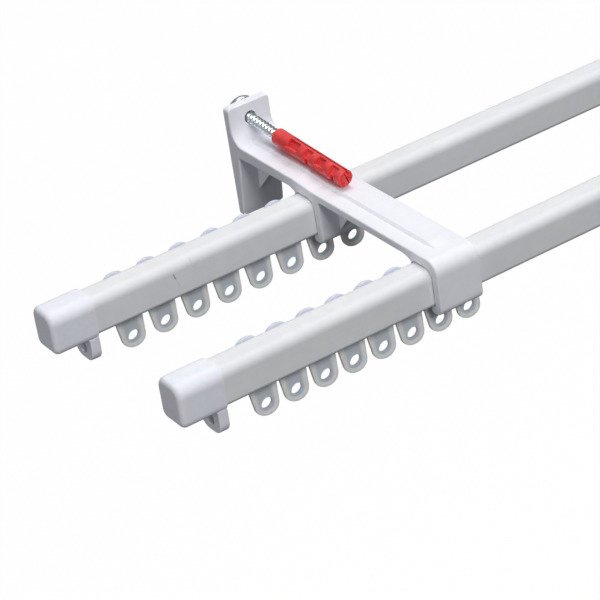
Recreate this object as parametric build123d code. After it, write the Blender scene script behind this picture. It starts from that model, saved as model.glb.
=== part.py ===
from build123d import *
import math
import os

# Double curtain track on wall brackets: two slotted rails, end caps, cast brackets and sliding gliders.
# X runs along the rails, -Y points from the wall into the room, +Z is up.
# The origin is the screw hole of the bare bracket, on the wall plane. Millimetres.

# Rails: aluminium section like a closed arch, with a slot along its underside
rail_width = 15.0
rail_height = 17.0
rail_crown_radius = 4.5
rail_foot_radius = 0.8
rail_wall = 1.3
rail_lip_thickness = 1.5
rail_slot_width = 4.2
rail_length = 500.0

# Where the rails hang
wall_to_rear_rail = 60.7
rail_spacing = 88.8
hole_to_rail_top = 16.2
bracket_spacing = 260.0
rear_rail_overhang = 144.0
front_rail_shift = 9.3

# End caps: moulded cups with a loop under the rim
cap_wall = 1.2
cap_floor_extra = 0.6
cap_end_wall = 3.4
cap_length = 21.5
cap_fit_gap = 0.1
cap_edge_radius = 2.6
cap_foot_radius = 4.0
cap_rim_radius = 0.4
cap_loop_thickness = 4.8
cap_loop_reach = 11.2
cap_loop_width = 16.0
cap_loop_corner_radius = 6.0
cap_loop_hole_diameter = 6.4
cap_loop_hole_drop = 4.9
cap_loop_edge_radius = 0.6

# Brackets: cast arms with a wall plate and two hooks
bracket_width = 22.5
plate_thickness = 4.3
plate_above_hole = 7.7
plate_below_hole = 48.5
plate_top_radius = 2.0
plate_foot_radius = 1.5
leg_root_thickness = 7.6
leg_foot_thickness = 3.4
wall_hole_diameter = 6.2
arm_root_rise = 6.2
arm_rise = 5.0
arm_underside_rise = 1.1
arm_root_underside_drop = 0.3
arm_step_length = 14.0
arm_root_fillet = 7.0
arm_pit_fillet = 1.5
hook_wall = 4.35
hook_fit_gap = 0.25
hook_shoulder_radius = 6.5
hook_heel_radius = 4.0
hook_toe_thickness = 3.8
hook_toe_reach = 2.8
hook_toe_radius = 1.5
saddle_reach = 5.45
saddle_drop = 2.6
saddle_tip_inset = 1.7
cast_edge_radius = 0.7
rib_width = 8.0
rib_height = 1.2
rib_draft = 1.1
rib_root_inset = 4.0
rib_end_inset = 1.6
rib_end_ramp = 6.0
gusset_thickness = 3.0
gusset_depth = 22.5
gusset_height = 22.5
hook_gusset_depth = 15.8
hook_gusset_height = 17.7

# Gliders: one moulding, with a carrier in the rail, an eye tab below and a guard behind
glider_count = 8
glider_pitch_front = 15.0
glider_pitch_rear = 16.86
first_glider_front = 94.6
first_glider_rear = 106.5
glider_running_gap = 0.25
carrier_length = 11.0
carrier_thickness = 2.2
neck_length = 8.0
glider_foot_thickness = 1.4
glider_foot_gap = 0.3
tab_top_width = 14.4
tab_shoulder_drop = 4.7
tab_radius = 5.9
tab_eye_drop = 12.5
tab_thickness = 1.2
tab_rim_width = 1.6
tab_rim_height = 0.5
tab_rim_slope = 45.0
eye_diameter = 5.4
guard_width = 13.2
guard_thickness = 1.4
guard_gap = 1.1
guard_top_drop = 1.3

# Wall screw, put through the plate from the wall side
screw_diameter = 4.8
screw_length = 31.0
screw_tip_length = 4.0
screw_tip_radius = 0.5
screw_head_diameter = 16.0
screw_head_height = 4.4
screw_head_rim = 1.0
screw_dome_fullness = 0.72
screw_lift = 0.2
screw_slot_width = 1.2
screw_slot_length = 5.6
screw_slot_depth = 1.8

# Wall plug, resting on the arm's rib
plug_diameter = 8.0
plug_length = 54.0
plug_mouth_diameter = 5.8
plug_mouth_depth = 9.0
plug_bore_diameter = 3.2
plug_mouth_from_wall = 25.1
plug_side_offset = 1.2
plug_tilt = 2.4
plug_roll = -40.0
plug_mouth_chamfer = 0.6
plug_window_count = 4
plug_window_length = 5.6
plug_window_width = 4.4
plug_window_depth = 1.9
plug_window_pitch = 10.1
plug_first_window = 12.5
plug_first_window_extra = 2.6
plug_notch_length = 3.4
plug_split_width = 0.8
plug_split_start = 13.0
plug_split_angle = 55.0
plug_tongue_width = 1.8
plug_tongue_rise = 0.9
plug_tongue_angle = 42.0
plug_prong_length = 2.0
plug_prong_thickness = 1.1
plug_prong_offset = 2.4
plug_engagement = 5.5
plug_rest_gap = 0.3

rear_rail_y = -wall_to_rear_rail
front_rail_y = rear_rail_y - rail_spacing
rail_top_z = -hole_to_rail_top
photo_bracket_x = -bracket_spacing
rear_rail_x = photo_bracket_x - rear_rail_overhang
front_rail_x = rear_rail_x + front_rail_shift
hook_face = rail_width / 2 + hook_fit_gap + hook_wall
hook_bottom = rail_height + hook_fit_gap + hook_toe_thickness


def arch_face(outset=0.0):
    """Rail outline grown by outset, in the YZ plane, with the rail's top centre at the origin."""
    outline = Rectangle(rail_width + 2 * outset, rail_height + 2 * outset)
    tops = outline.vertices().group_by(Axis.Y)[-1]
    outline = fillet(tops, rail_crown_radius + outset)
    feet = outline.vertices().group_by(Axis.Y)[0]
    outline = fillet(feet, max(rail_foot_radius + outset, rail_foot_radius / 2))
    return Pos(0, -rail_height / 2) * outline


def rail_shape():
    """Slotted rail from x = 0 to its length, top centre on the X axis."""
    slot = Pos(0, -rail_height) * Rectangle(rail_slot_width, 2 * rail_lip_thickness + rail_wall)
    floor = Pos(0, -rail_height) * Rectangle(rail_width, 2 * rail_lip_thickness)
    section = arch_face() - (arch_face(-rail_wall) - floor) - slot
    return extrude(Plane.YZ * section, rail_length)


def cap_outline():
    """Outside of the cap in the YZ plane: the rail's outline grown, with a deeper floor and rounder feet."""
    outset = cap_fit_gap + cap_wall
    height = rail_height + 2 * outset + cap_floor_extra
    outline = Rectangle(rail_width + 2 * outset, height)
    tops = outline.vertices().group_by(Axis.Y)[-1]
    outline = fillet(tops, rail_crown_radius + outset)
    feet = outline.vertices().group_by(Axis.Y)[0]
    outline = fillet(feet, cap_foot_radius)
    return Pos(0, outset - height / 2) * outline


def cap_shape():
    """End cap with its closed end at x = 0 and its rim at x = cap_length."""
    cup = extrude(Plane.YZ * cap_outline(), cap_length)
    cup = fillet(cup.edges().group_by(Axis.X)[0], cap_edge_radius)
    cup = fillet(cup.edges().group_by(Axis.X)[-1], cap_rim_radius)
    socket = extrude(Plane.YZ * arch_face(cap_fit_gap), cap_length)
    cup -= Pos(cap_end_wall, 0, 0) * socket
    return cup + Pos(cap_length - cap_loop_thickness, 0, 0) * cap_loop()


def cap_loop():
    """Rounded plate under the cap with a round hole along X."""
    floor = -(rail_height + cap_fit_gap + cap_wall + cap_floor_extra)
    height = cap_loop_reach + cap_wall / 2
    plate = Rectangle(cap_loop_width, height)
    plate = fillet(plate.vertices().group_by(Axis.Y)[0], cap_loop_corner_radius)
    plate = Pos(0, floor + cap_wall / 2 - height / 2) * plate
    hole = Pos(0, floor - cap_loop_hole_drop) * Circle(cap_loop_hole_diameter / 2)
    loop = extrude(Plane.YZ * (plate - hole), cap_loop_thickness)
    rims = loop.edges().filter_by(GeomType.CIRCLE).filter_by(lambda edge: edge.radius > cap_loop_hole_diameter / 2)
    return fillet(rims, cap_loop_edge_radius)


def bracket_profile():
    """Side view of the whole casting in the YZ plane, with every inner and outer corner rounded."""
    top = rail_top_z
    step_back = rear_rail_y + rail_width / 2
    step_front = step_back - arm_step_length
    root = -plate_thickness / 2
    sweep_start = step_back + saddle_reach
    arm = Polyline(
        (root, top + arm_root_rise),
        (step_back, top + arm_root_rise),
        (step_front, top + arm_rise),
        (front_rail_y - hook_face, top + arm_rise),
        (front_rail_y - hook_face, top + arm_underside_rise),
        (sweep_start, top + arm_underside_rise),
        (root, top - arm_root_underside_drop),
        close=True,
    )
    plate = Polyline(
        (0, plate_above_hole),
        (-plate_thickness, plate_above_hole),
        (-plate_thickness, top + arm_rise),
        (-leg_root_thickness, top + arm_underside_rise),
        (-leg_foot_thickness, -plate_below_hole),
        (0, -plate_below_hole),
        close=True,
    )
    profile = make_face(arm) + make_face(plate)
    root_slope = (arm_underside_rise + arm_root_underside_drop) / (root - sweep_start)
    for rail_y, slope in ((rear_rail_y, root_slope), (front_rail_y, 0)):
        profile += Pos(rail_y, top) * (saddle_face(slope) + hook_blank())
    corners = (
        (-plate_thickness, top + arm_root_rise, arm_root_fillet),
        (-leg_root_thickness, top - arm_root_underside_drop, arm_pit_fillet),
        (rear_rail_y - hook_face, top + arm_underside_rise, arm_pit_fillet),
        (front_rail_y - hook_face, top + arm_rise, hook_shoulder_radius),
    )
    for y, z, radius in corners:
        profile = fillet(profile.vertices().sort_by_distance((y, z, 0))[0], radius)
    for rail_y in (rear_rail_y, front_rail_y):
        profile -= Pos(rail_y, top) * arch_face(hook_fit_gap)
    return profile


def saddle_face(slope):
    """Underside of the arm that sweeps down from its slope behind the rail and lies round the rail's top."""
    back = rail_width / 2
    start = (back + saddle_reach, arm_underside_rise)
    end = (back - saddle_tip_inset, arm_underside_rise - saddle_drop)
    sweep = TangentArc(start, end, tangent=(-1, slope))
    rest = Polyline(end, (-back, end[1]), (-back, arm_rise / 2), (start[0], arm_rise / 2), start)
    return make_face(sweep + rest)


def hook_blank():
    """Block that becomes a hook: it covers the rail's front and turns in under it."""
    reach = hook_wall + hook_fit_gap + hook_toe_reach
    height = hook_bottom + arm_rise
    block = Pos(-hook_face + reach / 2, (arm_rise - hook_bottom) / 2) * Rectangle(reach, height)
    front_bottom = block.vertices().group_by(Axis.Y)[0].sort_by(Axis.X)[0]
    block = fillet(front_bottom, hook_heel_radius)
    toe = block.vertices().group_by(Axis.Y)[0].sort_by(Axis.X)[-1]
    return fillet(toe, hook_toe_radius)


def bracket_shape():
    """Whole bracket, centred on its screw hole, with its back on the wall plane."""
    casting = extrude(Plane.YZ * bracket_profile(), bracket_width / 2, both=True)
    casting -= plate_corner_waste()
    flank_edges = casting.edges().filter_by(is_cast_edge)
    casting = fillet(flank_edges, cast_edge_radius)
    hole = extrude(Plane.XZ * Circle(wall_hole_diameter / 2), plate_thickness)
    wall_gusset = gusset(-plate_thickness, gusset_depth, gusset_height)
    hook_gusset = gusset(rear_rail_y - hook_face, hook_gusset_depth, hook_gusset_height)
    return casting + arm_rib() + wall_gusset + hook_gusset - hole


def is_cast_edge(edge):
    """True for the outer edges that the casting has rounded: both flanks, away from wall and rails."""
    box = edge.bounding_box()
    on_flank = abs(abs(edge.center().X) - bracket_width / 2) < cast_edge_radius / 10
    on_wall = box.min.Y > -cast_edge_radius / 10
    return on_flank and box.size.X < cast_edge_radius / 10 and not on_wall


def plate_corner_waste():
    """What the plate's rounded corners leave out of its square outline."""
    height = plate_above_hole + plate_below_hole
    square = Rectangle(bracket_width, height)
    face = fillet(square.vertices().group_by(Axis.Y)[-1], plate_top_radius)
    face = fillet(face.vertices().group_by(Axis.Y)[0], plate_foot_radius)
    waste = Pos(0, (plate_above_hole - plate_below_hole) / 2) * (square - face)
    return extrude(Plane.XZ * waste, plate_thickness)


def gusset(face_y, depth, height):
    """Triangular web in the corner between the arm's underside and a face that looks into the room."""
    top = rail_top_z + arm_underside_rise
    root = plate_thickness / 2
    outline = Polyline(
        (face_y + root, top),
        (face_y - depth, top),
        (face_y + root, top - height * (1 + root / depth)),
        close=True,
    )
    return extrude(Plane.YZ * make_face(outline), gusset_thickness / 2, both=True)


def arm_rib():
    """Raised band along the arm's top, with sloped flanks and a ramp at its free end."""
    top = rail_top_z
    step_back = rear_rail_y + rail_width / 2
    step_front = step_back - arm_step_length
    root = -plate_thickness - rib_root_inset
    end = front_rail_y - rib_end_inset
    outline = Polyline(
        (root, top + arm_underside_rise),
        (root, top + arm_root_rise + rib_height),
        (step_back, top + arm_root_rise + rib_height),
        (step_front, top + arm_rise + rib_height),
        (end + rib_end_ramp, top + arm_rise + rib_height),
        (end, top + arm_rise),
        (end, top + arm_underside_rise),
        close=True,
    )
    rib = extrude(Plane.YZ * make_face(outline), rib_width / 2, both=True)
    flanks = rib.edges().filter_by(lambda edge: is_rib_crest(edge, end))
    return chamfer(flanks, rib_draft)


def is_rib_crest(edge, end):
    """True for the long top edges at the rib's two sides."""
    middle = edge.center()
    on_side = abs(abs(middle.X) - rib_width / 2) < rib_height / 4
    return on_side and middle.Z > rail_top_z + arm_rise + rib_height / 4 and middle.Y > end


def glider_shape():
    """Glider with its carrier in the rail, x = 0 at its middle and the rail's top centre at the origin."""
    bottom = -rail_height
    shelf = bottom + rail_lip_thickness + glider_running_gap
    carrier_width = rail_width - 2 * rail_wall - 4 * glider_running_gap
    carrier = Pos(0, 0, shelf + carrier_thickness / 2) * Box(carrier_length, carrier_width, carrier_thickness)
    carrier = fillet(carrier.edges().filter_by(Axis.Z), carrier_thickness / 2)
    neck_width = rail_slot_width - 2 * glider_running_gap
    neck_bottom = bottom - glider_foot_gap - glider_foot_thickness / 2
    neck_height = shelf + carrier_thickness / 2 - neck_bottom
    neck = Pos(0, 0, neck_bottom + neck_height / 2) * Box(neck_length, neck_width, neck_height)
    return carrier + neck + glider_guard() + glider_tab()


def glider_guard():
    """Foot under the rail and the rounded guard that stands behind it."""
    foot_top = -rail_height - glider_foot_gap
    back = rail_width / 2 + guard_gap + guard_thickness
    front = -rail_slot_width / 2 + glider_running_gap
    foot = Pos(0, (front + back) / 2, foot_top - glider_foot_thickness / 2) * Box(
        guard_width, back - front, glider_foot_thickness
    )
    low = foot_top - glider_foot_thickness
    radius = guard_width / 2
    high = -guard_top_drop - radius
    face = Pos(0, (low + high) / 2) * Rectangle(guard_width, high - low) + Pos(0, high) * Circle(radius)
    guard = Pos(0, back, 0) * extrude(Plane.XZ * face, guard_thickness)
    heel = (foot + guard).edges().filter_by(Axis.X).group_by(Axis.Z)[0].sort_by(Axis.Y)[-1]
    return fillet(heel, guard_thickness / 2)


def tab_outline(inset=0.0):
    """Tab with straight shoulders, a taper and a round end, hanging from y = 0."""
    shoulders = Pos(0, -tab_shoulder_drop / 2) * Rectangle(tab_top_width - 2 * inset, tab_shoulder_drop)
    end = Pos(0, -tab_eye_drop) * Circle(tab_radius - inset)
    return make_hull(shoulders.edges() + end.edges())


def glider_tab():
    """Eye tab that hangs below the rail, with a raised rim that slopes in to its thin field."""
    thickness = tab_thickness + tab_rim_height
    tab = Pos(0, tab_thickness / 2, 0) * extrude(Plane.XZ * tab_outline(), thickness)
    field = Plane.XZ.offset(tab_thickness / 2) * tab_outline(tab_rim_width + tab_rim_height)
    tab -= extrude(field, tab_rim_height, taper=-tab_rim_slope)
    eye = Pos(0, 0, -tab_eye_drop) * Rot(90, 0, 0) * Cylinder(eye_diameter / 2, 4 * tab_thickness)
    return Pos(0, 0, -rail_height - glider_foot_gap) * (tab - eye)


def screw_shape():
    """Pan head screw with its head's underside at the origin and its tip towards -Y."""
    shank_radius = screw_diameter / 2
    head_radius = screw_head_diameter / 2
    side = Polyline(
        (0, screw_head_height),
        (0, -screw_length),
        (screw_tip_radius, -screw_length),
        (shank_radius, screw_tip_length - screw_length),
        (shank_radius, 0),
        (head_radius, 0),
        (head_radius, screw_head_rim),
    )
    dome = ThreePointArc(
        (head_radius, screw_head_rim),
        (head_radius * screw_dome_fullness, (screw_head_rim + screw_head_height) * screw_dome_fullness),
        (0, screw_head_height),
    )
    body = revolve(make_face(side + dome), Axis.Y)
    cross = Box(screw_slot_length, 2 * screw_slot_depth, screw_slot_width)
    cross += Box(screw_slot_width, 2 * screw_slot_depth, screw_slot_length)
    return body - Pos(0, screw_head_height, 0) * cross


def plug_shape():
    """Expansion plug with its mouth at the origin and its tip towards -Y."""
    outer = Pos(0, -plug_length / 2, 0) * Rot(90, 0, 0) * Cylinder(plug_diameter / 2, plug_length)
    outer = chamfer(outer.edges().filter_by(GeomType.CIRCLE), plug_mouth_chamfer)
    mouth = Pos(0, -plug_mouth_depth / 2, 0) * Rot(90, 0, 0) * Cylinder(plug_mouth_diameter / 2, plug_mouth_depth)
    bore = Pos(0, -plug_length / 2, 0) * Rot(90, 0, 0) * Cylinder(plug_bore_diameter / 2, plug_length)
    split_length = plug_length - plug_split_start
    split = Pos(0, 0, plug_diameter / 2) * Box(plug_split_width, split_length, plug_diameter)
    split = Pos(0, -plug_split_start - split_length / 2, 0) * Rot(0, plug_split_angle, 0) * split
    return outer - plug_windows() - split + plug_tongues() + plug_prongs() - mouth - bore


def plug_window_span(number):
    """Length of one window and how far its middle lies from the mouth."""
    extra = plug_first_window_extra if number == 0 else 0
    far_end = plug_first_window + plug_first_window_extra + plug_window_length + number * plug_window_pitch
    length = plug_window_length + extra
    return length, far_end - length / 2


def plug_windows():
    """Row of pockets along the plug; every second one runs on round the side as a notch."""
    cuts = Part()
    for number in range(plug_window_count):
        length, middle = plug_window_span(number)
        pocket = Box(plug_window_width, length, 2 * plug_window_depth)
        cuts += Pos(0, -middle, plug_diameter / 2) * pocket
        if number % 2:
            notch = Box(2 * plug_window_depth, plug_notch_length, plug_diameter)
            cuts += Pos(-plug_diameter / 2, -middle, plug_window_width / 2) * notch
    return cuts


def plug_tongues():
    """Ramps beside every second window, on two opposite sides, that rise towards the mouth."""
    tongues = Part()
    root = plug_diameter / 2 - plug_tongue_rise
    for number in range(0, plug_window_count, 2):
        length, middle = plug_window_span(number)
        ramp = Polyline(
            (length / 2, root),
            (length / 2, plug_diameter / 2 + plug_tongue_rise),
            (-length / 2, plug_diameter / 2),
            (-length / 2, root),
            close=True,
        )
        tongue = extrude(Plane.YZ * make_face(ramp), plug_tongue_width / 2, both=True)
        for turn in (-plug_tongue_angle, 180 - plug_tongue_angle):
            tongues += Pos(0, -middle, 0) * Rot(0, turn, 0) * tongue
    return tongues


def plug_prongs():
    """Two small moulding prongs that stand out of the tip."""
    prongs = Part()
    reach = plug_prong_length + plug_mouth_chamfer
    for side in (-1, 1):
        prong = Box(plug_prong_thickness, reach, plug_prong_thickness)
        prongs += Pos(side * plug_prong_offset, plug_mouth_chamfer - plug_length - reach / 2, 0) * prong
    return prongs


def placed_rails():
    """Both rails with the caps on their ends, by node name."""
    nodes = {}
    for name, x, y in (("rear", rear_rail_x, rear_rail_y), ("front", front_rail_x, front_rail_y)):
        at = Pos(x, y, rail_top_z)
        nodes[f"rail_{name}"] = at * rail_shape()
        cap_start = -cap_end_wall - cap_fit_gap
        nodes[f"cap_{name}_left"] = at * Pos(cap_start, 0, 0) * cap_shape()
        right = Pos(rail_length - cap_start, 0, 0) * mirror(cap_shape(), about=Plane.YZ)
        nodes[f"cap_{name}_right"] = at * right
    return nodes


def placed_gliders():
    """Eight gliders in each rail, spaced as they stand, by node name."""
    nodes = {}
    glider = glider_shape()
    for name, y, first, pitch in (
        ("rear", rear_rail_y, first_glider_rear, glider_pitch_rear),
        ("front", front_rail_y, first_glider_front, glider_pitch_front),
    ):
        for number in range(glider_count):
            x = photo_bracket_x - first + number * pitch
            nodes[f"glider_{name}_{number + 1}"] = Pos(x, y, rail_top_z) * glider
    return nodes


def placed_fixings():
    """Screw through the first bracket's hole and the plug that lies on its rib, by node name."""
    slope = math.tan(math.radians(plug_tilt))
    rib_top = rail_top_z + arm_root_rise + rib_height
    rest_y = rear_rail_y + rail_width / 2
    rest_z = rib_top + (plug_diameter / 2 + plug_rest_gap) / math.cos(math.radians(plug_tilt))
    mouth_y = -plug_mouth_from_wall
    mouth_z = rest_z + (mouth_y - rest_y) * slope
    plug_at = Pos(photo_bracket_x + plug_side_offset, mouth_y, mouth_z) * Rot(plug_tilt, 0, 0) * Rot(0, plug_roll, 0)
    aim = Vector(plug_side_offset, mouth_y - plug_engagement / 2, mouth_z - slope * plug_engagement / 2)
    start = Vector(0, 0, screw_lift)
    run = aim - start
    tilt = math.degrees(math.atan2(-run.Z, -run.Y))
    yaw = math.degrees(math.atan2(run.X, -run.Y))
    stand_off = screw_head_diameter / 2 * math.sin(math.radians(tilt)) + cap_fit_gap
    screw_at = Pos(photo_bracket_x, start.Y, start.Z) * Rot(0, 0, yaw) * Rot(tilt, 0, 0) * Pos(0, stand_off, 0)
    return {"wall_screw": screw_at * screw_shape(), "wall_plug": plug_at * plug_shape()}


nodes = placed_rails() | placed_gliders() | placed_fixings()
bracket = bracket_shape()
nodes["bracket_left"] = Pos(photo_bracket_x, 0, 0) * bracket
nodes["bracket_right"] = bracket

os.makedirs("parts", exist_ok=True)
for node, shape in nodes.items():
    export_step(shape, f"parts/{node}.step")
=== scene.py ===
import math

import bmesh
import bpy
from mathutils import Matrix, Vector


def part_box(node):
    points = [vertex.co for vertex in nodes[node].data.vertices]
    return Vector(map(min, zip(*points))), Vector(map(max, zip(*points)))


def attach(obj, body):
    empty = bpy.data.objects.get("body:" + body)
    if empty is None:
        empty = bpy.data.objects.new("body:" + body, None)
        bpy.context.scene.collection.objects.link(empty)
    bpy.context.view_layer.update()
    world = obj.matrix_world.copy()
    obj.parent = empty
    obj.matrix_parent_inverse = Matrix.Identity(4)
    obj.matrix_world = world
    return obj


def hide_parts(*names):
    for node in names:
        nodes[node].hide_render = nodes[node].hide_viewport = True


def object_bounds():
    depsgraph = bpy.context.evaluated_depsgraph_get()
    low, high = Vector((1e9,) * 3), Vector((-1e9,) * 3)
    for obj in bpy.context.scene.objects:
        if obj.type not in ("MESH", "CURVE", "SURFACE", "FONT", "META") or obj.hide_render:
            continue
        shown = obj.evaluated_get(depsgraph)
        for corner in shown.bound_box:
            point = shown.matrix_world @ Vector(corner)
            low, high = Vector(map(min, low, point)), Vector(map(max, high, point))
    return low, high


# Double curtain track: white rails, caps and brackets, milky eye gliders, a zinc screw and a red wall plug.
# Metres, with X along the rails, -Y into the room and Z up.

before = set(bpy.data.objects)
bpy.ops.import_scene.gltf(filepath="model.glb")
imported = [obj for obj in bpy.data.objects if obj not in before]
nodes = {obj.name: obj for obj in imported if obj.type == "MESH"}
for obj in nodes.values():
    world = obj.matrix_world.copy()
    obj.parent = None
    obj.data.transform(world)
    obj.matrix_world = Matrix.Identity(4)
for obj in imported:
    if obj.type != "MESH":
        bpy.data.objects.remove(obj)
cadLow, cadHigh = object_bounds()
print("frame loaded:", len(nodes), "nodes")


# Small helpers for objects and node trees

def addObject(name, data):
    item = bpy.data.objects.new(name, data)
    bpy.context.scene.collection.objects.link(item)
    return item


def feedSocket(tree, socket, value):
    if isinstance(value, bpy.types.NodeSocket):
        tree.links.new(value, socket)
    else:
        socket.default_value = value


def addNode(tree, kind, inputs=None, **settings):
    node = tree.nodes.new(kind)
    for key, value in settings.items():
        setattr(node, key, value)
    for key, value in (inputs or {}).items():
        feedSocket(tree, node.inputs[key], value)
    return node


def mathOf(tree, operation, first, second=0.0, third=0.0, clamp=False):
    values = {0: first, 1: second, 2: third}
    node = addNode(tree, "ShaderNodeMath", values, operation=operation, use_clamp=clamp)
    return node.outputs[0]


def mixColour(tree, factor, first, second):
    node = addNode(tree, "ShaderNodeMix", {0: factor, 6: first, 7: second}, data_type="RGBA")
    return node.outputs[2]


def smoothMask(tree, value, low, high):
    node = addNode(
        tree, "ShaderNodeMapRange", {"Value": value, "From Min": low, "From Max": high},
        interpolation_type="SMOOTHSTEP",
    )
    return node.outputs["Result"]


def noiseOf(tree, vector, scale, detail, roughness=0.5):
    node = addNode(tree, "ShaderNodeTexNoise", {
        "Vector": vector, "Scale": scale, "Detail": detail, "Roughness": roughness,
    })
    return node.outputs["Fac"]


def drawnNoise(tree, place, stretch, scale, detail):
    # Noise drawn out along X, for the lines that an extrusion or a moulding has
    mapped = addNode(tree, "ShaderNodeMapping", {"Vector": place, "Scale": (stretch, 1.0, 1.0)})
    return noiseOf(tree, mapped.outputs["Vector"], scale, detail)


def newGroup(name, inputs, outputs):
    group = bpy.data.node_groups.new(name, "ShaderNodeTree")
    for label, kind, value in inputs:
        socket = group.interface.new_socket(label, in_out="INPUT", socket_type="NodeSocket" + kind)
        if value is not None:
            socket.default_value = value
    for label, kind in outputs:
        group.interface.new_socket(label, in_out="OUTPUT", socket_type="NodeSocket" + kind)
    return group, group.nodes.new("NodeGroupInput"), group.nodes.new("NodeGroupOutput")


def useGroup(tree, group, **values):
    return addNode(tree, "ShaderNodeGroup", values, node_tree=group)


def newMaterial(name, **principled):
    material = bpy.data.materials.new(name)
    material.use_nodes = True
    tree = material.node_tree
    shader = tree.nodes["Principled BSDF"]
    for label, value in principled.items():
        shader.inputs[label.replace("_", " ")].default_value = value
    place = tree.nodes.new("ShaderNodeTexCoord").outputs["Object"]
    return material, tree, shader, place


# Shared surface effects

effectLook = {
    "patchShare": 0.65, "mottleShare": 0.35, "toneLow": 0.36, "toneHigh": 0.64, "driftScale": 60.0,
}


def makeToneGroup():
    # Slow drift of a colour over the surface, with finer mottling on top
    look = effectLook
    group, given, out = newGroup(
        "surfaceTone",
        [("Vector", "Vector", None), ("Light", "Color", (1, 1, 1, 1)), ("Shade", "Color", (0.8, 0.8, 0.8, 1)),
         ("Patch", "Float", 20.0), ("Mottle", "Float", 400.0)],
        [("Color", "Color")],
    )
    patch = noiseOf(group, given.outputs["Vector"], given.outputs["Patch"], detail=3.0, roughness=0.55)
    mottle = noiseOf(group, given.outputs["Vector"], given.outputs["Mottle"], detail=2.0)
    patchPart = mathOf(group, "MULTIPLY", patch, look["patchShare"])
    blend = mathOf(group, "MULTIPLY_ADD", mottle, look["mottleShare"], patchPart)
    mask = smoothMask(group, blend, look["toneLow"], look["toneHigh"])
    colour = mixColour(group, mask, given.outputs["Shade"], given.outputs["Light"])
    group.links.new(colour, out.inputs["Color"])
    return group


def makeSkinGroup():
    # Fine relief of a coated or moulded skin, and a slow drift of its roughness
    group, given, out = newGroup(
        "surfaceSkin",
        [("Vector", "Vector", None), ("Scale", "Float", 900.0), ("Depth", "Float", 0.00001),
         ("Roughness", "Float", 0.4), ("Spread", "Float", 0.08)],
        [("Normal", "Vector"), ("Roughness", "Float")],
    )
    peel = noiseOf(group, given.outputs["Vector"], given.outputs["Scale"], detail=4.0, roughness=0.55)
    bump = addNode(group, "ShaderNodeBump", {"Height": peel, "Distance": given.outputs["Depth"]})
    drift = noiseOf(group, given.outputs["Vector"], effectLook["driftScale"], detail=3.0)
    offset = mathOf(group, "SUBTRACT", drift, 0.5)
    rough = mathOf(group, "MULTIPLY_ADD", offset, given.outputs["Spread"], given.outputs["Roughness"])
    group.links.new(bump.outputs["Normal"], out.inputs["Normal"])
    group.links.new(rough, out.inputs["Roughness"])
    return group


toneGroup = makeToneGroup()
skinGroup = makeSkinGroup()


def finishSurface(tree, shader, place, look, light="light", shade="shade"):
    # Skin and roughness go to the shader; the toned colour comes back for what each material adds to it
    tone = useGroup(
        tree, toneGroup, Vector=place, Light=look[light], Shade=look[shade],
        Patch=look["patch"], Mottle=look["mottle"],
    )
    skin = useGroup(
        tree, skinGroup, Vector=place, Scale=look["skinScale"], Depth=look["skinDepth"],
        Roughness=look["roughness"], Spread=look["spread"],
    )
    tree.links.new(skin.outputs["Roughness"], shader.inputs["Roughness"])
    tree.links.new(skin.outputs["Normal"], shader.inputs["Normal"])
    return tone.outputs["Color"]


def makeCoatMaterial(name, look, **principled):
    material, tree, shader, place = newMaterial(name, **principled)
    tree.links.new(finishSurface(tree, shader, place, look), shader.inputs["Base Color"])
    return material


# Rails: matt white coating on an extrusion, with drawing lines, painted shade along the foot and three small
# nicks

railLook = {
    "light": (0.865, 0.875, 0.885, 1), "shade": (0.81, 0.82, 0.835, 1), "specular": 0.15,
    "patch": 9.0, "mottle": 160.0, "skinScale": 1400.0, "skinDepth": 0.000005,
    "roughness": 0.6, "spread": 0.1,
    "drawStretch": 0.01, "drawScale": 900.0, "drawLow": 0.3, "drawHigh": 0.7, "drawStrength": 0.25,
    # The foot keys paint shade: a darker band along the rails' lower edge
    "paintedFootShade": (0.30, 0.32, 0.34, 1), "footShadeHeight": 0.0018, "footShadeSoft": 0.3, "footShadeStrength": 0.85,
    "nickColour": (0.26, 0.29, 0.31, 1), "nickFaceDepth": 0.0025, "nickOuter": 1.8, "nickInner": 0.2,
    "nicks": {
        "deep": {
            "top": (-0.3455, -0.0214), "foot": (-0.3449, -0.0236), "halfWidth": 0.00032, "strength": 0.8,
        },
        "scratch": {
            "top": (-0.3449, -0.0236), "foot": (-0.3432, -0.0284), "halfWidth": 0.00022, "strength": 0.14,
        },
        "high": {
            "top": (-0.3358, -0.0172), "foot": (-0.3361, -0.0193), "halfWidth": 0.0003, "strength": 0.16,
        },
    },
}


def makeNickMask(tree, place, nick):
    # Distance to a short line in the XZ plane, as a soft stroke
    topPoint = Vector((nick["top"][0], 0, nick["top"][1]))
    footPoint = Vector((nick["foot"][0], 0, nick["foot"][1]))
    along = footPoint - topPoint
    kind = "ShaderNodeVectorMath"
    flat = addNode(tree, kind, {0: place, 1: (1, 0, 1)}, operation="MULTIPLY").outputs[0]
    fromTop = addNode(tree, kind, {0: flat, 1: topPoint}, operation="SUBTRACT").outputs[0]
    dot = addNode(tree, kind, {0: fromTop, 1: along / along.length_squared}, operation="DOT_PRODUCT")
    share = mathOf(tree, "ADD", dot.outputs["Value"], 0.0, clamp=True)
    nearest = addNode(tree, kind, {0: along, "Scale": share}, operation="SCALE").outputs[0]
    gap = addNode(tree, kind, {0: fromTop, 1: nearest}, operation="DISTANCE").outputs["Value"]
    outer, inner = nick["halfWidth"] * railLook["nickOuter"], nick["halfWidth"] * railLook["nickInner"]
    return mathOf(tree, "MULTIPLY", smoothMask(tree, gap, outer, inner), nick["strength"])


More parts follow.
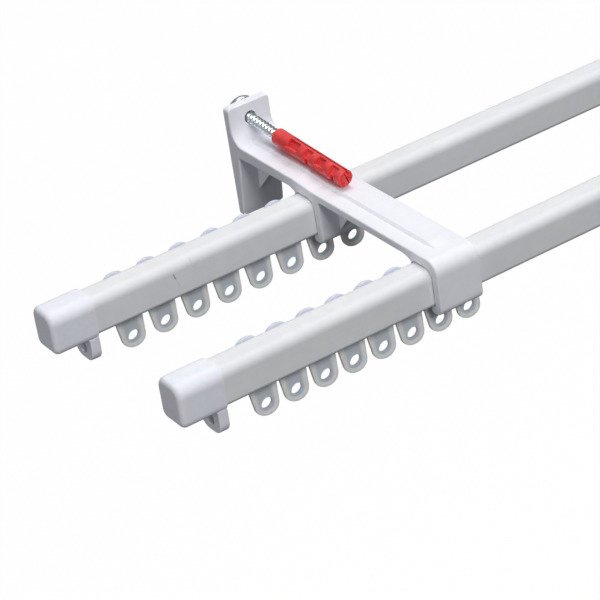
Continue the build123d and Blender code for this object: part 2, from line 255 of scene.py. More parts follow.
def makeRailMaterial():
    look = railLook
    material, tree, shader, place = newMaterial("railCoating", Specular_IOR_Level=look["specular"])
    colour = finishSurface(tree, shader, place, look)
    lines = drawnNoise(tree, place, look["drawStretch"], look["drawScale"], detail=2.0)
    lineMask = smoothMask(tree, lines, look["drawLow"], look["drawHigh"])
    drawn = mixColour(tree, lineMask, look["shade"], look["light"])
    colour = mixColour(tree, look["drawStrength"], colour, drawn)
    axes = addNode(tree, "ShaderNodeSeparateXYZ", {"Vector": place})
    # Both rails hang at one height, and the nicks are on the front face of the rear rail
    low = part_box("rail_rear")[0]
    # Painted shade: both rails are darkened over their lowest few millimetres, standing in for the shade
    # along their lower edge
    paintedFootShadeMask = smoothMask(
        tree, axes.outputs["Z"], low.z + look["footShadeHeight"], low.z + look["footShadeHeight"] * look["footShadeSoft"],
    )
    paintedFootShadeMask = mathOf(tree, "MULTIPLY", paintedFootShadeMask, look["footShadeStrength"])
    colour = mixColour(tree, paintedFootShadeMask, colour, look["paintedFootShade"])
    marks = 0.0
    for nick in look["nicks"].values():
        marks = mathOf(tree, "MAXIMUM", marks, makeNickMask(tree, place, nick))
    reach = look["nickFaceDepth"]
    onFront = smoothMask(tree, axes.outputs["Y"], low.y + reach, low.y + reach / 2)
    beyond = smoothMask(tree, axes.outputs["Y"], low.y - reach * 2, low.y - reach)
    marks = mathOf(tree, "MULTIPLY", marks, mathOf(tree, "MULTIPLY", onFront, beyond))
    tree.links.new(mixColour(tree, marks, colour, look["nickColour"]), shader.inputs["Base Color"])
    return material


# Caps: slightly lavender moulded plastic, with faint flow streaks along the cap

capLook = {
    "light": (0.92, 0.92, 0.99, 1), "shade": (0.88, 0.88, 0.97, 1), "streak": (0.84, 0.845, 0.92, 1),
    "specular": 0.15, "milk": 0.15, "milkDepth": 0.002,
    "patch": 35.0, "mottle": 500.0, "skinScale": 2200.0, "skinDepth": 0.000006,
    "roughness": 0.58, "spread": 0.08,
    "streakStretch": 0.05, "streakScale": 420.0, "streakLow": 0.48, "streakHigh": 0.72,
    "streakStrength": 0.28,
}


def makeCapMaterial():
    look = capLook
    material, tree, shader, place = newMaterial(
        "capPlastic", Subsurface_Weight=look["milk"], Subsurface_Scale=look["milkDepth"],
        Specular_IOR_Level=look["specular"],
    )
    colour = finishSurface(tree, shader, place, look)
    streaks = drawnNoise(tree, place, look["streakStretch"], look["streakScale"], detail=3.0)
    streakMask = smoothMask(tree, streaks, look["streakLow"], look["streakHigh"])
    streakMask = mathOf(tree, "MULTIPLY", streakMask, look["streakStrength"])
    tree.links.new(mixColour(tree, streakMask, colour, look["streak"]), shader.inputs["Base Color"])
    return material


# Brackets: white coating on a casting, with the casting's softer skin under it

bracketLook = {
    "light": (0.925, 0.925, 0.975, 1), "shade": (0.88, 0.88, 0.945, 1), "specular": 0.18,
    "patch": 28.0, "mottle": 300.0, "skinScale": 900.0, "skinDepth": 0.000012,
    "roughness": 0.56, "spread": 0.1,
}


# Meshes that scene pieces are made from

def newPiece(name, shape):
    # A bmesh becomes an object at the origin, with its faces pointing out
    bmesh.ops.remove_doubles(shape, verts=shape.verts, dist=1e-7)
    bmesh.ops.recalc_face_normals(shape, faces=shape.faces)
    mesh = bpy.data.meshes.new(name)
    shape.to_mesh(mesh)
    shape.free()
    return addObject(name, mesh)


def plainMesh(item):
    # The mesh that an object's modifiers make, which are then taken off
    mesh = bpy.data.meshes.new_from_object(item.evaluated_get(bpy.context.evaluated_depsgraph_get()))
    item.modifiers.clear()
    return mesh


def joinPieces(base, others, operation="UNION"):
    # One closed shell of all the pieces, or the first with the others cut out
    for other in others:
        cut = base.modifiers.new("join", "BOOLEAN")
        cut.operation, cut.solver, cut.object = operation, "EXACT", other
    base.data = plainMesh(base)
    for other in others:
        bpy.data.objects.remove(other)
    return base


def softenMesh(mesh, angle=35.0):
    for face in mesh.polygons:
        face.use_smooth = True
    mesh.set_sharp_from_angle(angle=math.radians(angle))


def coatMesh(mesh, material):
    mesh.materials.clear()
    mesh.materials.append(material)


def makeBlock(name, low, high, radius, upright=False):
    # Block with rounded edges, or with only its upright edges rounded
    shape = bmesh.new()
    bmesh.ops.create_cube(shape, size=1.0)
    for vert in shape.verts:
        vert.co = Vector(low[i] + (vert.co[i] + 0.5) * (high[i] - low[i]) for i in range(3))
    edges = [
        edge for edge in shape.edges
        if not upright or abs(edge.verts[0].co.z - edge.verts[1].co.z) > radius
    ]
    bmesh.ops.bevel(shape, geom=edges, offset=radius, segments=3, profile=0.5, affect="EDGES")
    return newPiece(name, shape)


def makeLoops(name, loops, ring=False):
    # Faces between loops of points; a ring also joins the last loop to the first, else both ends are closed
    shape = bmesh.new()
    rows = [[shape.verts.new(point) for point in loop] for loop in loops]
    pairs = list(zip(rows, rows[1:])) + ([(rows[-1], rows[0])] if ring else [])
    for first, second in pairs:
        for i in range(len(first)):
            j = (i + 1) % len(first)
            shape.faces.new((first[i], first[j], second[j], second[i]))
    if not ring:
        shape.faces.new(rows[0])
        shape.faces.new(rows[-1])
    return newPiece(name, shape)


def levelLoop(points, depth):
    return [(p.x, depth, p.y) for p in points]


def circleLoop(radius, height, steps):
    turns = [math.tau * i / steps for i in range(steps)]
    return [(radius * math.cos(turn), radius * math.sin(turn), height) for turn in turns]


# Gliders: a carrier in the rail, a neck through its slot, a foot with a guard behind it, and the eye tab

gliderShape = {
    "runningGap": 0.00025, "carrierLength": 0.011, "carrierThickness": 0.0022, "carrierRadius": 0.0011,
    "railWall": 0.0013, "lipThickness": 0.0015, "slotWidth": 0.0042, "neckLength": 0.008,
    "footGap": 0.0003, "footThickness": 0.0014, "footRadius": 0.0003, "joinDepth": 0.0002,
    "guardHalf": 0.0068, "guardGap": 0.0008, "guardThickness": 0.0014, "guardTopDrop": 0.0012,
    "guardRows": [(0.0004, 0.0), (0.00012, 0.00012), (0.0, 0.0004)], "guardSteps": 28,
    "tabHalfTop": 0.0072, "tabShoulder": 0.0008, "tabHalfEnd": 0.0061, "tabEyeDrop": 0.0117,
    "tabEndDepth": 0.0053, "tabEndPower": 2.1, "tabLean": 0.2, "tabBack": 0.0006, "tabField": 0.0006,
    "tabRim": 0.00025, "tabBackInset": 0.0003, "endSteps": 26, "sideSteps": 6,
    "tabEdgeRows": [
        (0.0, "back", -0.0003), (0.0, "rim", 0.0004), (0.0001, "rim", 0.00012), (0.0004, "rim", 0.0),
        (0.0011, "rim", 0.0), (0.0015, "rim", 0.00008), (0.0019, "field", -0.0001), (0.0023, "field", 0.0),
    ],
    "eyeHalfWidth": 0.0026, "eyeHalfHeight": 0.0021, "eyeSlant": 0.3,
    "eyeRows": [
        (0.0009, "field", 0.0), (0.0006, "field", -0.0001), (0.0003, "field", -0.00015),
        (0.0001, "field", -0.0001), (0.0, "field", 0.0001), (0.0, "back", -0.0002), (0.0002, "back", 0.0),
    ],
}


def tabOutline(look):
    # From the top left corner down the left side, round the end, up the right side and back along the top
    eye, halfTop, halfEnd = -look["tabEyeDrop"], look["tabHalfTop"], look["tabHalfEnd"]
    shoulder, steps, endSteps = look["tabShoulder"], look["sideSteps"], look["endSteps"]
    points = []
    for i in range(steps + 1):
        points.append((-halfTop, -shoulder * i / steps))
    for i in range(1, steps + 1):
        share = i / steps
        points.append((-halfTop + (halfTop - halfEnd) * share, -shoulder * (1 - share) + eye * share))
    power = 2 / look["tabEndPower"]
    for i in range(1, endSteps):
        turn = math.pi * i / endSteps
        side = -math.copysign(abs(math.cos(turn)) ** power, math.cos(turn))
        points.append((halfEnd * side, eye - look["tabEndDepth"] * math.sin(turn) ** power))
    points += [(-x, z) for x, z in reversed(points[:2 * steps + 1])]
    points += [(halfTop - 2 * halfTop * i / endSteps, 0.0) for i in range(1, endSteps)]
    return points


def makeTab(look):
    # Loops go round the tab's edge and rim, over its field, through the eye and back
    eye = Vector((0.0, -look["tabEyeDrop"]))
    outline = [Vector(point) - eye for point in tabOutline(look)]
    field = -look["tabField"]
    depths = {"back": look["tabBack"], "field": field, "rim": field - look["tabRim"]}
    loops = []
    for inset, plane, offset in look["tabEdgeRows"]:
        points = [eye + p * (1 - inset / p.length) for p in outline]
        loops.append(levelLoop(points, depths[plane] + offset))
    for outset, plane, offset in look["eyeRows"]:
        width, rise = look["eyeHalfWidth"] + outset, look["eyeHalfHeight"] + outset
        reaches = [math.hypot((p.x - look["eyeSlant"] * p.y) / width, p.y / rise) for p in outline]
        points = [eye + p / reach for p, reach in zip(outline, reaches)]
        loops.append(levelLoop(points, depths[plane] + offset))
    points = [eye + p * (1 - look["tabBackInset"] / p.length) for p in outline]
    loops.append(levelLoop(points, depths["back"]))
    return makeLoops("tab", loops, ring=True)


def makeGuard(look, low, back):
    # Upright plate with a round top and softened edges
    half, steps = look["guardHalf"], look["guardSteps"]
    centre = -look["guardTopDrop"] - half
    outline = [(half, low), (half, (low + centre) / 2)]
    for i in range(steps + 1):
        turn = math.pi * i / steps
        outline.append((half * math.cos(turn), centre + half * math.sin(turn)))
    outline += [(-half, (low + centre) / 2), (-half, low)]
    front = back - look["guardThickness"]
    levels = [(inset, front + depth) for inset, depth in look["guardRows"]]
    levels += [(inset, back - depth) for inset, depth in reversed(look["guardRows"])]
    loops = []
    for inset, depth in levels:
        scale = 1 - inset / half
        points = [(x, centre + (z - centre) * scale if z > centre else z) for x, z in outline]
        loops.append([(x * scale, depth, z) for x, z in points])
    return makeLoops("guard", loops)


def makeGliderMesh(row):
    # x = 0 at the glider's middle, y = 0 at the rail's and z = 0 at the rail's top
    look = gliderShape
    railLow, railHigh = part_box("rail_" + row)
    width, height = railHigh.y - railLow.y, railHigh.z - railLow.z
    shelf = -height + look["lipThickness"] + look["runningGap"]
    carrierHalf = width / 2 - look["railWall"] - 2 * look["runningGap"]
    footTop = -height - look["footGap"]
    footLow = footTop - look["footThickness"]
    neckHalf = look["slotWidth"] / 2 - look["runningGap"]
    back = width / 2 + look["guardGap"] + look["guardThickness"]
    length, neck, half = look["carrierLength"] / 2, look["neckLength"] / 2, look["guardHalf"]
    foot = makeBlock(
        "foot", (-half, -neckHalf, footLow), (half, back - look["joinDepth"], footTop), look["footRadius"],
    )
    carrier = makeBlock(
        "carrier", (-length, -carrierHalf, shelf), (length, carrierHalf, shelf + look["carrierThickness"]),
        look["carrierRadius"], upright=True,
    )
    stem = makeBlock(
        "stem", (-neck, -neckHalf, footLow + look["footThickness"] / 2),
        (neck, neckHalf, shelf + look["carrierThickness"] / 2), look["footRadius"], upright=True,
    )
    # The tab leans into the room about its eye, which stays under the rail's middle
    tab = makeTab(look)
    lean = Matrix.Identity(4)
    lean[1][2] = look["tabLean"]
    hung = (0, look["tabLean"] * look["tabEyeDrop"], footTop - look["joinDepth"])
    tab.data.transform(Matrix.Translation(hung) @ lean)
    guard = makeGuard(look, footLow + look["joinDepth"], back)
    whole = joinPieces(foot, [stem, carrier, tab, guard])
    mesh = whole.data
    bpy.data.objects.remove(whole)
    softenMesh(mesh)
    return mesh


# Milky nylon: the tab's field is painted darker as the rail's shade, its rim painted paler and warmer as a
# highlight, with a bluish painted shadow round the eye

gliderLook = {
    # The field colour holds painted shade, the rim colour a painted highlight, and the colour round the eye a
    # painted shadow
    "field": (0.60, 0.63, 0.665, 1), "rim": (0.92, 0.90, 0.885, 1), "edge": (0.62, 0.57, 0.54, 1),
    "paintedEyeShade": (0.60, 0.67, 0.79, 1), "guard": (0.66, 0.70, 0.82, 1), "milk": 0.3, "milkDepth": 0.003,
    "patch": 60.0, "mottle": 700.0, "skinScale": 2600.0, "skinDepth": 0.000005,
    "roughness": 0.36, "spread": 0.1, "cloud": 260.0, "cloudStrength": 0.2,
    "rimHighlightInner": 0.0034, "rimHighlightOuter": 0.0012, "edgeWidth": 0.0003, "edgeStrength": 0.6,
    "eyeShadeWidth": 0.0012, "eyeShadeStrength": 0.7, "guardBlend": 0.0005,
}


def makeGliderMaterial(row):
    # The pattern repeats at the row's own pitch, so one material serves every glider of a row
    look, shape = gliderLook, gliderShape
    material, tree, shader, place = newMaterial(
        "gliderNylon_" + row, Subsurface_Weight=look["milk"], Subsurface_Scale=look["milkDepth"],
    )
    firstLow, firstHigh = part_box("glider_" + row + "_1")
    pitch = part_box("glider_" + row + "_2")[0].x - firstLow.x
    middle = (firstLow.x + firstHigh.x) / 2
    railLow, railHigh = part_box("rail_" + row)
    eyeHeight = railLow.z - shape["footGap"] - shape["tabEyeDrop"]
    axes = addNode(tree, "ShaderNodeSeparateXYZ", {"Vector": place})
    rise = mathOf(tree, "SUBTRACT", axes.outputs["Z"], eyeHeight)
    across = mathOf(tree, "WRAP", mathOf(tree, "SUBTRACT", axes.outputs["X"], middle), pitch / 2, -pitch / 2)

    # Distance in from the tab's outline: a taper above the eye, a rounded end below it
    taper = mathOf(tree, "DIVIDE", rise, shape["tabEyeDrop"] - shape["tabShoulder"], clamp=True)
    half = mathOf(tree, "MULTIPLY_ADD", taper, shape["tabHalfTop"] - shape["tabHalfEnd"], shape["tabHalfEnd"])
    sideShare = mathOf(tree, "DIVIDE", mathOf(tree, "ABSOLUTE", across), half)
    below = mathOf(tree, "MULTIPLY", mathOf(tree, "MINIMUM", rise, 0.0), -1.0)
    endShare = mathOf(tree, "DIVIDE", below, shape["tabEndDepth"])
    power = shape["tabEndPower"]
    sidePart = mathOf(tree, "POWER", sideShare, power)
    endPart = mathOf(tree, "POWER", endShare, power)
    reach = mathOf(tree, "POWER", mathOf(tree, "ADD", sidePart, endPart), 1 / power)
    toEdge = mathOf(tree, "MULTIPLY", mathOf(tree, "SUBTRACT", 1.0, reach), shape["tabHalfEnd"])
    acrossSquared = mathOf(tree, "MULTIPLY", across, across)
    riseSquared = mathOf(tree, "MULTIPLY", rise, rise)
    eyeReach = mathOf(tree, "POWER", mathOf(tree, "ADD", acrossSquared, riseSquared), 0.5)

    tone = finishSurface(tree, shader, place, look, "field", "paintedEyeShade")
    cloud = noiseOf(tree, place, look["cloud"], detail=2.0)
    colour = mixColour(tree, mathOf(tree, "MULTIPLY", cloud, look["cloudStrength"]), look["field"], tone)
    # Painted highlight: a paler, warmer band along the tab's rim, over the field's painted shade
    paintedRimHighlightMask = smoothMask(tree, toEdge, look["rimHighlightInner"], look["rimHighlightOuter"])
    colour = mixColour(tree, paintedRimHighlightMask, colour, look["rim"])
    # Painted shadow: a bluish ring round the eye
    paintedEyeShadeMask = smoothMask(tree, eyeReach, shape["eyeHalfWidth"] + look["eyeShadeWidth"], shape["eyeHalfWidth"])
    paintedEyeShadeMask = mathOf(tree, "MULTIPLY", paintedEyeShadeMask, look["eyeShadeStrength"])
    colour = mixColour(tree, paintedEyeShadeMask, colour, look["paintedEyeShade"])
    edgeMask = smoothMask(tree, toEdge, look["edgeWidth"], 0.0)
    edgeMask = mathOf(tree, "MULTIPLY", edgeMask, look["edgeStrength"])
    colour = mixColour(tree, edgeMask, colour, look["edge"])
    guardMask = smoothMask(tree, axes.outputs["Y"], railHigh.y, railHigh.y + look["guardBlend"])
    tree.links.new(mixColour(tree, guardMask, colour, look["guard"]), shader.inputs["Base Color"])
    return material


def makeGliders():
    # Each CAD glider gets a finished moulding in its place, on the same body
    for row in ("rear", "front"):
        mesh = makeGliderMesh(row)
        coatMesh(mesh, makeGliderMaterial(row))
        railLow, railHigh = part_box("rail_" + row)
        for nodeName in sorted(name for name in nodes if name.startswith("glider_" + row)):
            low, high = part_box(nodeName)
            ownMesh = mesh.copy()
            middle = ((low.x + high.x) / 2, (railLow.y + railHigh.y) / 2, railHigh.z)
            ownMesh.transform(Matrix.Translation(middle))
            piece = addObject("moulding_" + nodeName, ownMesh)
            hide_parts(nodeName)
            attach(piece, nodeName)


# Screw: pan head and a thread cut along its shank, in bright zinc

screwShape = {
    "headUnderside": (-0.260048, 0.001124, 0.000347), "tip": (-0.258725, -0.029587, -0.003664),
    "pitch": 0.0023, "outerRadius": 0.0026, "threadDepth": 0.00068, "crestFall": -3.6,
    "taperLength": 0.0042, "taperPower": 0.8, "tipShare": 0.12, "plainLength": 0.0035,
    "rowsPerTurn": 12, "stepsAround": 64, "sunk": 0.001, "endGap": 1e-6, "weldGap": 2e-6,
    "headRadius": 0.0079, "headHeight": 0.0044, "headSteps": 64,
    "headProfile": [
        (0.94, 0.0), (0.985, 0.02), (1.0, 0.1), (1.0, 0.42), (0.985, 0.55), (0.94, 0.7), (0.86, 0.82),
        (0.72, 0.92), (0.5, 0.98), (0.24, 1.0),
    ],
    "slotLength": 0.0056, "slotWidth": 0.0012, "slotDepth": 0.0018, "slotRadius": 0.0001, "sharpAngle": 75.0,
}
zincLook = {
    "light": (0.92, 0.95, 0.97, 1), "shade": (0.76, 0.82, 0.85, 1),
    "patch": 160.0, "mottle": 900.0, "skinScale": 3000.0, "skinDepth": 0.000001,
    "roughness": 0.34, "spread": 0.1,
}


def makeThreadTree():
    # A sheared grid is rolled into the shank, so that its rows follow the thread's crest
    tree = bpy.data.node_groups.new("screwThread", "GeometryNodeTree")
    sockets = {
        "Float": (
            "Length", "Pitch", "Outer Radius", "Thread Depth", "Crest Fall", "Taper Length", "Taper Power",
            "Tip Share", "Plain Length", "End Gap", "Weld Gap",
        ),
        "Int": ("Rows", "Rows Per Turn", "Steps"),
        "Material": ("Material",),
    }
    tree.interface.new_socket("Geometry", in_out="INPUT", socket_type="NodeSocketGeometry")
    for kind, labels in sockets.items():
        for label in labels:
            tree.interface.new_socket(label, in_out="INPUT", socket_type="NodeSocket" + kind)
    tree.interface.new_socket("Geometry", in_out="OUTPUT", socket_type="NodeSocketGeometry")
    given = tree.nodes.new("NodeGroupInput").outputs

    # A flat grid: X runs along the shank and Y once round it
    rowSpan = mathOf(tree, "DIVIDE", given["Pitch"], given["Rows Per Turn"])
    gridLength = mathOf(tree, "MULTIPLY", rowSpan, mathOf(tree, "SUBTRACT", given["Rows"], 1.0))
    grid = addNode(tree, "GeometryNodeMeshGrid", {
        "Size X": gridLength, "Size Y": 1.0, "Vertices X": given["Rows"], "Vertices Y": given["Steps"],
    })
    position = tree.nodes.new("GeometryNodeInputPosition").outputs[0]
    axes = addNode(tree, "ShaderNodeSeparateXYZ", {"Vector": position})
    turn = mathOf(tree, "ADD", axes.outputs["Y"], 0.5)
    rolled = mathOf(tree, "MULTIPLY_ADD", gridLength, 0.5, axes.outputs["X"])
    rolled = mathOf(tree, "SUBTRACT", rolled, given["Pitch"])
    along = mathOf(tree, "MULTIPLY_ADD", given["Pitch"], turn, rolled)

    # Points past either end fall onto the axis, where they close the shank
    pastStart = mathOf(tree, "GREATER_THAN", along, given["End Gap"])
    beforeEnd = mathOf(tree, "LESS_THAN", along, mathOf(tree, "SUBTRACT", given["Length"], given["End Gap"]))
    inside = mathOf(tree, "MULTIPLY", pastStart, beforeEnd)
    along = mathOf(tree, "MINIMUM", mathOf(tree, "MAXIMUM", along, 0.0), given["Length"])

    # The crest rises once a turn, and only past the plain part under the head
    phase = mathOf(tree, "FRACT", mathOf(tree, "DIVIDE", rolled, given["Pitch"]))
    fromCrest = mathOf(tree, "ABSOLUTE", mathOf(tree, "SUBTRACT", phase, 0.5))
    crest = mathOf(tree, "MULTIPLY_ADD", fromCrest, given["Crest Fall"], 1.0, clamp=True)
    pastPlain = mathOf(tree, "SUBTRACT", along, given["Plain Length"])
    crest = mathOf(tree, "MULTIPLY", crest, mathOf(tree, "DIVIDE", pastPlain, given["Pitch"], clamp=True))
    drop = mathOf(tree, "MULTIPLY", mathOf(tree, "SUBTRACT", 1.0, crest), given["Thread Depth"])
    radius = mathOf(tree, "SUBTRACT", given["Outer Radius"], drop)

    # The shank narrows towards its tip
    left = mathOf(tree, "SUBTRACT", given["Length"], along)
    left = mathOf(tree, "DIVIDE", left, given["Taper Length"], clamp=True)
    taper = mathOf(tree, "MAXIMUM", mathOf(tree, "POWER", left, given["Taper Power"]), given["Tip Share"])
    radius = mathOf(tree, "MULTIPLY", mathOf(tree, "MULTIPLY", radius, taper), inside)
    angle = mathOf(tree, "MULTIPLY", turn, math.tau)
    place = addNode(tree, "ShaderNodeCombineXYZ", {
        "X": mathOf(tree, "MULTIPLY", radius, mathOf(tree, "COSINE", angle)),
        "Y": mathOf(tree, "MULTIPLY", radius, mathOf(tree, "SINE", angle)),
        "Z": along,
    })
    moved = addNode(tree, "GeometryNodeSetPosition", {
        "Geometry": grid.outputs["Mesh"], "Position": place.outputs[0],
    })
    merged = addNode(tree, "GeometryNodeMergeByDistance", {
        "Geometry": moved.outputs[0], "Distance": given["Weld Gap"],
    })
    real = addNode(tree, "GeometryNodeRealizeInstances", {"Geometry": merged.outputs[0]})
    coated = addNode(tree, "GeometryNodeSetMaterial", {
        "Geometry": real.outputs[0], "Material": given["Material"],
    })
    out = tree.nodes.new("NodeGroupOutput")
    tree.links.new(coated.outputs[0], out.inputs["Geometry"])
    return tree


def makeThread(look, length, material):
    values = {
        "Length": length, "Pitch": look["pitch"], "Outer Radius": look["outerRadius"],
        "Thread Depth": look["threadDepth"], "Crest Fall": look["crestFall"],
        "Taper Length": look["taperLength"], "Taper Power": look["taperPower"], "Tip Share": look["tipShare"],
        "Plain Length": look["plainLength"], "End Gap": look["endGap"], "Weld Gap": look["weldGap"],
        "Rows": math.ceil((length / look["pitch"] + 1) * look["rowsPerTurn"]) + 1,
        "Rows Per Turn": look["rowsPerTurn"], "Steps": look["stepsAround"] + 1, "Material": material,
    }
    shank = addObject("shank", bpy.data.meshes.new("shank"))
    modifier = shank.modifiers.new("thread", "NODES")
    modifier.node_group = makeThreadTree()
    for item in modifier.node_group.interface.items_tree:
        if item.in_out == "INPUT" and item.name in values:
            modifier[item.identifier] = values[item.name]
    mesh = plainMesh(shank)
    bpy.data.objects.remove(shank)
    shape = bmesh.new()
    shape.from_mesh(mesh)
    return newPiece("shank", shape)


def makeHead(look):
    # Revolved round Z, with its underside at z = 0 and its top towards -Z, and a cross recess in the top
    head = makeLoops("head", [
        circleLoop(look["headRadius"] * share, -look["headHeight"] * rise, look["headSteps"])
        for share, rise in look["headProfile"]
    ])
    half, width, top = look["slotLength"] / 2, look["slotWidth"] / 2, -look["headHeight"]
    low, high = top - look["slotDepth"], top + look["slotDepth"]
    first = makeBlock("slotAcross", (-half, -width, low), (half, width, high), look["slotRadius"])
    second = makeBlock("slotUp", (-width, -half, low), (width, half, high), look["slotRadius"])
    return joinPieces(head, [joinPieces(first, [second])], "DIFFERENCE")


def makeScrew():
    look = screwShape
    material = makeCoatMaterial("zincPlating", zincLook, Metallic=1.0)
    start, tip = Vector(look["headUnderside"]), Vector(look["tip"])
    along = (tip - start).normalized()
    shank = makeThread(look, (tip - start).length + look["sunk"], material)
    shank.data.transform(Matrix.Translation((0, 0, -look["sunk"])))
    screw = joinPieces(makeHead(look), [shank])
    turned = along.to_track_quat("Z", "Y").to_matrix().to_4x4()
    screw.data.transform(Matrix.Translation(start) @ turned)
    screw.name = "threadedScrew"
    coatMesh(screw.data, material)
    softenMesh(screw.data, angle=look["sharpAngle"])
    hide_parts("wall_screw")
    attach(screw, "root")


# Plug: red nylon, with its two halves closed to a rounded nose at the tip

plugShape = {
    "mouth": (-0.2588, -0.0251, -0.003318), "length": 0.054, "tilt": 2.4, "roll": -40.0, "steps": 32,
    "noseProfile": [
        (0.0015, -0.003), (0.0015, 0.00003), (0.0025, 0.00003), (0.0025, 0.0003), (0.0023, 0.0008),
        (0.0018, 0.0012), (0.0009, 0.0014),
    ],
    "gapReach": 0.005, "gapWidth": 0.0007, "gapLow": -0.00075, "gapHigh": 0.0028, "gapTurn": 55.0,
    "gapRadius": 0.0001,
}
plugLook = {
    "light": (0.90, 0.085, 0.085, 1), "shade": (0.76, 0.04, 0.045, 1), "milk": 0.12, "milkDepth": 0.002,
    "patch": 110.0, "mottle": 900.0, "skinScale": 2400.0, "skinDepth": 0.00001,
    "roughness": 0.46, "spread": 0.12,
}


def makePlugNose(material):
    # Revolved round Z and turned onto the plug's axis, with the gap between the halves cut through it
    look = plugShape
    loops = [circleLoop(radius, rise, look["steps"]) for radius, rise in look["noseProfile"]]
    nose = makeLoops("nose", loops)
    reach, half = look["gapReach"], look["gapWidth"] / 2
    gap = makeBlock("gap", (-reach, -half, look["gapLow"]), (reach, half, look["gapHigh"]), look["gapRadius"])
    gap.data.transform(Matrix.Rotation(math.radians(look["gapTurn"] + look["roll"]), 4, "Z"))
    nose = joinPieces(nose, [gap], "DIFFERENCE")
    tilt = math.radians(look["tilt"])
    along = Vector((0.0, -math.cos(tilt), -math.sin(tilt)))
    turned = along.to_track_quat("Z", "X").to_matrix().to_4x4()
    nose.data.transform(Matrix.Translation(Vector(look["mouth"]) + along * look["length"]) @ turned)
    nose.name = "plugNose"
    coatMesh(nose.data, material)
    softenMesh(nose.data)
    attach(nose, "root")


# Materials of the CAD pieces, by how their names start

def giveMaterial(nodeName, material):
    piece = nodes[nodeName]
    for index in range(len(piece.material_slots)):
        piece.material_slots[index].material = material
    if not piece.material_slots:
        piece.data.materials.append(material)


bracketCoating = makeCoatMaterial("bracketCoating", bracketLook, Specular_IOR_Level=bracketLook["specular"])
plugNylon = makeCoatMaterial(
    "plugNylon", plugLook, Subsurface_Weight=plugLook["milk"], Subsurface_Scale=plugLook["milkDepth"],
)
looks = {
    "rail": (makeRailMaterial(), "rail_coating"),
    "cap": (makeCapMaterial(), "cap_plastic"),
    "bracket": (bracketCoating, "bracket_coating"),
    "wall_plug": (plugNylon, "plug_plastic"),
}
for nodeName in sorted(nodes):
    for start, (material, slotName) in looks.items():
        if nodeName.startswith(start):
            giveMaterial(nodeName, material)
print("materials set")
makeGliders()
print("gliders made")
makeScrew()
makePlugNose(plugNylon)
print("screw and plug made")


# Stage: a pale floor well below the track, soft lamps and the photograph's camera

stageLook = {
    "floorDrop": 0.55, "floorSize": 14.0, "floorBounce": (0.06, 0.065, 0.07, 1),
    "floorSeen": (1.0, 1.0, 1.0, 1), "shadowShare": 0.02,
    "worldColour": (0.94, 0.96, 1.0, 1), "worldStrength": 0.22,
}


def makeFloor():
    # The camera sees paper as white as the background, with a trace of the track's shadow
    look = stageLook
    half = look["floorSize"] / 2
    height = cadLow.z - look["floorDrop"]
    corners = [(-half, -half, height), (half, -half, height), (half, half, height), (-half, half, height)]
    mesh = bpy.data.meshes.new("floor")
    mesh.from_pydata(corners, [], [(0, 1, 2, 3)])
    floor = addObject("floor", mesh)
    material = bpy.data.materials.new("floorPaper")
    material.use_nodes = True
    tree = material.node_tree
    tree.nodes.clear()
    path = tree.nodes.new("ShaderNodeLightPath")
    seen = mathOf(tree, "ADD", path.outputs["Is Camera Ray"], path.outputs["Is Transmission Ray"], clamp=True)
    colour = mixColour(tree, seen, look["floorBounce"], look["floorSeen"])
    paper = addNode(tree, "ShaderNodeBsdfDiffuse", {"Color": colour})
    glow = addNode(tree, "ShaderNodeEmission", {"Color": (1, 1, 1, 1), "Strength": 1.0})
    share = mathOf(tree, "MULTIPLY", seen, 1.0 - look["shadowShare"])
    mix = addNode(tree, "ShaderNodeMixShader", {0: share, 1: paper.outputs[0], 2: glow.outputs[0]})
    out = tree.nodes.new("ShaderNodeOutputMaterial")
    tree.links.new(mix.outputs[0], out.inputs["Surface"])
    mesh.materials.append(material)


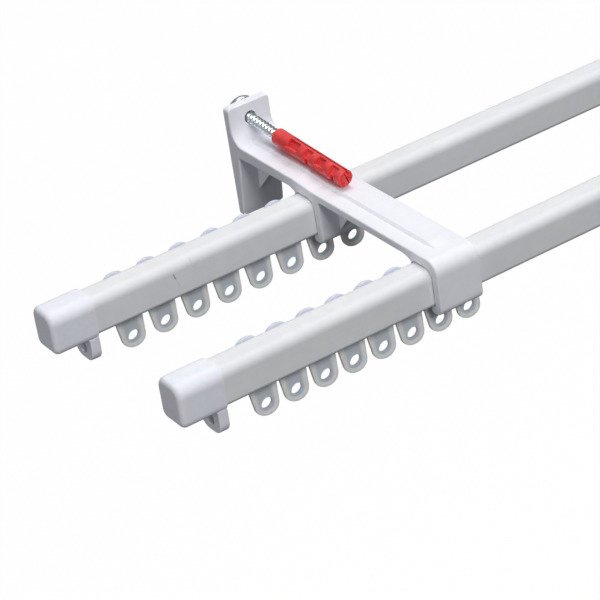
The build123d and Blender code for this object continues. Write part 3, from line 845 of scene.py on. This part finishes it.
def makeWorld():
    # White to the camera, and dim and slightly blue as a light
    look = stageLook
    world = bpy.data.worlds.new("studio")
    bpy.context.scene.world = world
    world.use_nodes = True
    tree = world.node_tree
    background = tree.nodes["Background"]
    path = tree.nodes.new("ShaderNodeLightPath")
    seen = mathOf(tree, "MAXIMUM", path.outputs["Is Camera Ray"], path.outputs["Is Transmission Ray"])
    level = mathOf(tree, "MULTIPLY_ADD", seen, 1.0 - look["worldStrength"], look["worldStrength"])
    colour = mixColour(tree, seen, look["worldColour"], (1, 1, 1, 1))
    tree.links.new(colour, background.inputs["Color"])
    tree.links.new(level, background.inputs["Strength"])


lamps = {
    "above": {"place": (0.5, 0.3, 2.4), "aim": (-0.25, -0.08, 0.0), "size": 1.8, "watts": 41.0},
    "front": {"place": (-0.6, -2.55, 1.85), "aim": (-0.25, -0.1, 0.0), "size": 1.0, "watts": 41.0},
    "side": {"place": (-2.6, -0.3, 0.25), "aim": (-0.3, -0.1, 0.0), "size": 1.2, "watts": 7.5},
}


def makeLamps():
    for name, look in lamps.items():
        data = bpy.data.lights.new(name, "AREA")
        data.size = look["size"]
        data.energy = look["watts"]
        lamp = addObject(name, data)
        lamp.location = look["place"]
        lamp.rotation_mode = "QUATERNION"
        lamp.rotation_quaternion = (Vector(look["aim"]) - lamp.location).to_track_quat("-Z", "Y")


cameraLook = {
    "azimuth": -29.403, "elevation": 30.428, "roll": -9.06, "place": (-0.7863, -0.9573, 0.5383),
    "lens": 157.43, "sensor": 36.0, "clip": (0.05, 30.0),
}


def makeCamera():
    look = cameraLook
    side, height = math.radians(look["azimuth"]), math.radians(look["elevation"])
    back = Vector((math.sin(side) * math.cos(height), -math.cos(side) * math.cos(height), math.sin(height)))
    level = Vector((math.cos(side), math.sin(side), 0.0))
    upright = back.cross(level)
    roll = math.radians(look["roll"])
    right = level * math.cos(roll) + upright * math.sin(roll)
    up = upright * math.cos(roll) - level * math.sin(roll)
    data = bpy.data.cameras.new("camera")
    data.sensor_width = look["sensor"]
    data.lens = look["lens"]
    data.clip_start, data.clip_end = look["clip"]
    camera = addObject("camera", data)
    turned = Matrix((right, up, back)).transposed().to_4x4()
    camera.matrix_world = Matrix.Translation(look["place"]) @ turned
    bpy.context.scene.camera = camera


makeFloor()
makeWorld()
makeLamps()
makeCamera()
bpy.context.scene.view_settings.view_transform = "Standard"
print("stage set")
